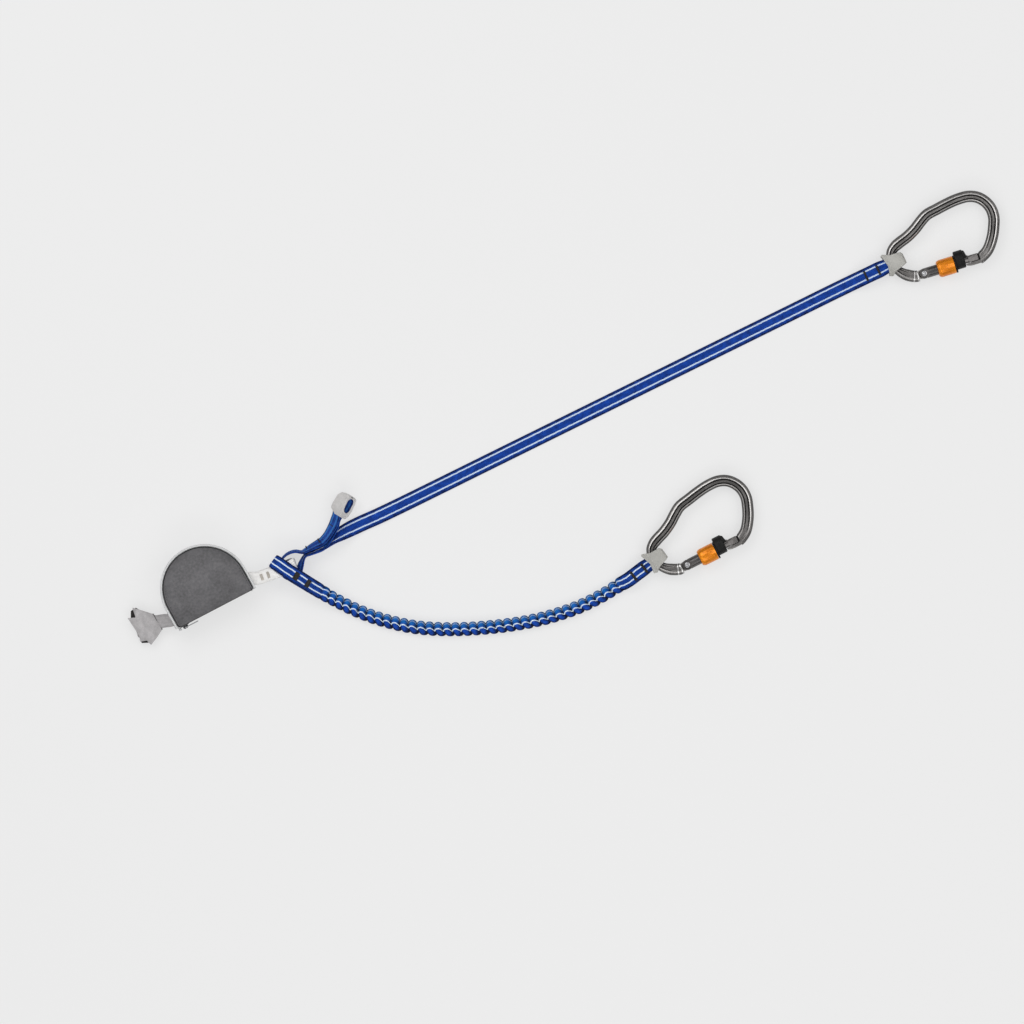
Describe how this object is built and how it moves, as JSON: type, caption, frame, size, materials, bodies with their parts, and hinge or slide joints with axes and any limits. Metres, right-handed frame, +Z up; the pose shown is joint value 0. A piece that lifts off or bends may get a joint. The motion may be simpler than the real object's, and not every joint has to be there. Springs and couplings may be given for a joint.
{
  "type": "via ferrata lanyard",
  "caption": "Forked via ferrata lanyard laid flat: a flat and an elastic webbing arm with locking carabiners, a rest loop, a zipped absorber pouch and a harness hitch strap.",
  "frame": {"origin": "middle of the outline's box, on the surface that the lanyard lies on", "axes": "+X from the harness end towards the carabiners, +Y towards the flat arm's carabiner, +Z up from the surface"},
  "size_m": [0.8266, 0.432, 0.0344],
  "materials": {
    "blue_webbing": "woven polyamide webbing",
    "light_grey_rubber": "matt moulded rubber",
    "grey_anodised_aluminium": "satin anodised",
    "bright_steel": "plain steel",
    "orange_anodised_sleeve": "satin coloured aluminium",
    "black_plastic": "moulded, slightly glossy",
    "dark_grey_fabric": "woven polyester",
    "pale_grey_fabric": "woven polyester",
    "grey_webbing": "woven webbing",
    "white_webbing": "woven high-strength webbing",
    "black_thread": "sewn thread",
    "natural_rubber": "elastic strip"
  },
  "bodies": {
    "lanyard": {"long_arm_webbing": "blue_webbing", "elastic_arm_webbing": "blue_webbing", "rest_branch_webbing": "blue_webbing", "upper_protector": "light_grey_rubber", "lower_protector": "light_grey_rubber", "rest_branch_protector": "light_grey_rubber", "pouch_front_panel": "dark_grey_fabric", "pouch_back_panel": "dark_grey_fabric", "zip_teeth_upper": "dark_grey_fabric", "zip_teeth_lower": "dark_grey_fabric", "zip_tape_upper": "dark_grey_fabric", "zip_tape_lower": "dark_grey_fabric", "pouch_gusset": "pale_grey_fabric", "pouch_front_piping": "pale_grey_fabric", "pouch_back_piping": "pale_grey_fabric", "zip_end_tab": "pale_grey_fabric", "harness_strap": "grey_webbing", "tear_webbing_harness_ply": "grey_webbing", "arm_loop_bar_tack_inner": "grey_webbing", "arm_loop_bar_tack_outer": "grey_webbing", "arm_loop_webbing": "white_webbing", "tear_webbing_arm_ply": "white_webbing", "long_arm_bar_tack_inner": "black_thread", "long_arm_bar_tack_outer": "black_thread", "elastic_arm_bar_tack_inner": "black_thread", "elastic_arm_bar_tack_outer": "black_thread", "elastic_loop_bar_tack_inner": "black_thread", "elastic_loop_bar_tack_outer": "black_thread", "elastic_core": "natural_rubber"},
    "upper_carabiner": {"upper_carabiner_frame": "grey_anodised_aluminium", "upper_gate_rivet": "bright_steel"},
    "upper_gate": {"upper_gate": "grey_anodised_aluminium", "upper_gate_plunger": "bright_steel", "upper_gate_spring": "bright_steel", "upper_sleeve_spring": "bright_steel"},
    "upper_sleeve": {"upper_locking_sleeve": "orange_anodised_sleeve", "upper_catch_collar": "black_plastic"},
    "lower_carabiner": {"lower_carabiner_frame": "grey_anodised_aluminium", "lower_gate_rivet": "bright_steel"},
    "lower_gate": {"lower_gate": "grey_anodised_aluminium", "lower_gate_plunger": "bright_steel", "lower_gate_spring": "bright_steel", "lower_sleeve_spring": "bright_steel"},
    "lower_sleeve": {"lower_locking_sleeve": "orange_anodised_sleeve", "lower_catch_collar": "black_plastic"},
    "zip_slider": {"zip_slider": "bright_steel"},
    "zip_pull": {"zip_pull": "bright_steel"}
  },
  "joints": [
    {"name": "upper_carabiner_swing", "type": "hinge", "parent": "lanyard", "child": "upper_carabiner", "pos_m": [0.3134, 0.14621, 0.0091], "axis": [-0.4305, 0.9026, 0], "range_deg": [-75, 75]},
    {"name": "upper_gate_hinge", "type": "hinge", "parent": "upper_carabiner", "child": "upper_gate", "pos_m": [0.34239, 0.13601, 0.0091], "axis": [0, 0, 1], "range_deg": [0, 25], "stiffness_Nm_per_rad": 0.6, "springref_deg": -28.65},
    {"name": "upper_sleeve_twist", "type": "hinge", "parent": "upper_gate", "child": "upper_sleeve", "pos_m": [0.34239, 0.13601, 0.0091], "axis": [0.9563, 0.2924, 0], "range_deg": [0, 70], "stiffness_Nm_per_rad": 0.02, "springref_deg": -28.65},
    {"name": "lower_carabiner_swing", "type": "hinge", "parent": "lanyard", "child": "lower_carabiner", "pos_m": [0.08721, -0.13537, 0.0091], "axis": [-0.6018, 0.7986, 0], "range_deg": [-75, 75]},
    {"name": "lower_gate_hinge", "type": "hinge", "parent": "lower_carabiner", "child": "lower_gate", "pos_m": [0.11753, -0.14045, 0.0091], "axis": [0, 0, 1], "range_deg": [0, 25], "stiffness_Nm_per_rad": 0.6, "springref_deg": -28.65},
    {"name": "lower_sleeve_twist", "type": "hinge", "parent": "lower_gate", "child": "lower_sleeve", "pos_m": [0.11753, -0.14045, 0.0091], "axis": [0.8918, 0.4524, 0], "range_deg": [0, 70], "stiffness_Nm_per_rad": 0.02, "springref_deg": -28.65},
    {"name": "zip_slide", "type": "slide", "parent": "lanyard", "child": "zip_slider", "axis": [0.8862, 0.4633, 0], "range_m": [0, 0.064]},
    {"name": "zip_pull_flip", "type": "hinge", "parent": "zip_slider", "child": "zip_pull", "pos_m": [-0.35796, -0.19953, 0.0155], "axis": [0, 0, -1], "range_deg": [0, 150]}
  ]
}
